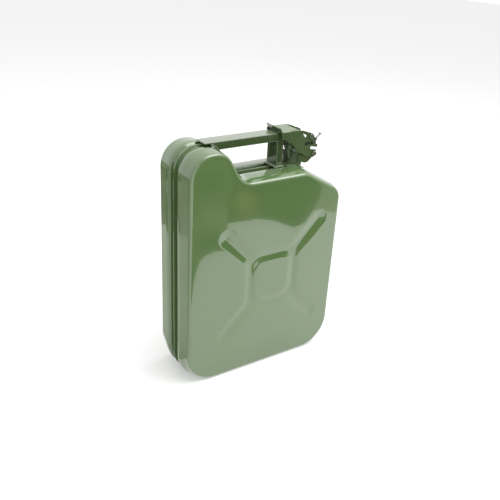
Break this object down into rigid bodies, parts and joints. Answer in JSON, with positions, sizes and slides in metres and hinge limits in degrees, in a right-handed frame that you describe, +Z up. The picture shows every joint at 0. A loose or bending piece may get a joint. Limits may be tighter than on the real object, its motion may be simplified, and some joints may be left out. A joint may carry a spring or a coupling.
{
  "type": "metal fuel can",
  "caption": "Flat pressed-steel fuel can with a box-section carrying handle and a tilted neck closed by a hinged cap under a clamp lever.",
  "frame": {"origin": "centre of the can's footprint, on the floor it stands on", "axes": "+X along the handle from the hump towards the filler neck, +Y from the front face to the rear face, +Z up"},
  "size_m": [0.245, 0.082, 0.3472],
  "materials": {
    "front_shell": "gloss enamel",
    "rear_shell": "gloss enamel",
    "handle": "gloss enamel",
    "handle_foot": "gloss enamel",
    "neck_skirt": "gloss enamel",
    "filler_neck": "gloss enamel",
    "mouth_collar": "gloss enamel",
    "hinge_bracket": "satin enamel",
    "catch_bracket": "satin enamel",
    "cap": "satin enamel",
    "cap_bridge": "satin enamel",
    "clamp_lever": "satin enamel",
    "hinge_pin": "zinc plated",
    "catch_pin": "zinc plated",
    "catch_roller": "zinc plated",
    "cap_stud": "zinc plated",
    "tie_barrel": "zinc plated",
    "lever_pin": "zinc plated",
    "locking_pin": "zinc plated",
    "gasket": "matt",
    "breather_pipe": "dull"
  },
  "bodies": {
    "can": {"front_shell": "front_shell", "rear_shell": "rear_shell", "handle": "handle", "handle_foot": "handle_foot", "neck_skirt": "neck_skirt", "filler_neck": "filler_neck", "mouth_collar": "mouth_collar", "breather_pipe": "breather_pipe", "hinge_bracket": "hinge_bracket", "hinge_pin": "hinge_pin", "catch_bracket": "catch_bracket", "catch_pin": "catch_pin"},
    "cap_group": {"cap": "cap", "gasket": "gasket", "cap_stud": "cap_stud", "cap_bridge": "cap_bridge", "tie_barrel": "tie_barrel"},
    "lever": {"clamp_lever": "clamp_lever", "lever_pin": "lever_pin"},
    "roller": {"catch_roller": "catch_roller"},
    "lock": {"locking_pin": "locking_pin"}
  },
  "joints": [
    {"name": "cap_hinge", "type": "hinge", "parent": "can", "child": "cap_group", "pos_m": [0.04549, 0, 0.31953], "axis": [0, -1, 0], "range_deg": [0, 84]},
    {"name": "lever_pivot", "type": "hinge", "parent": "cap_group", "child": "lever", "pos_m": [0.07797, 0, 0.33101], "axis": [0, 1, 0], "range_deg": [0, 140]},
    {"name": "roller_spin", "type": "hinge", "parent": "can", "child": "roller", "pos_m": [0.08466, 0, 0.30613], "axis": [0, 1, 0], "continuous": true},
    {"name": "locking_pin_pull", "type": "slide", "parent": "lever", "child": "lock", "axis": [0, -1, 0], "range_m": [0, 0.012]}
  ],
  "couplings": [
    {"joint": "cap_hinge", "follows": "lever_pivot", "ratio": 0.6}
  ]
}
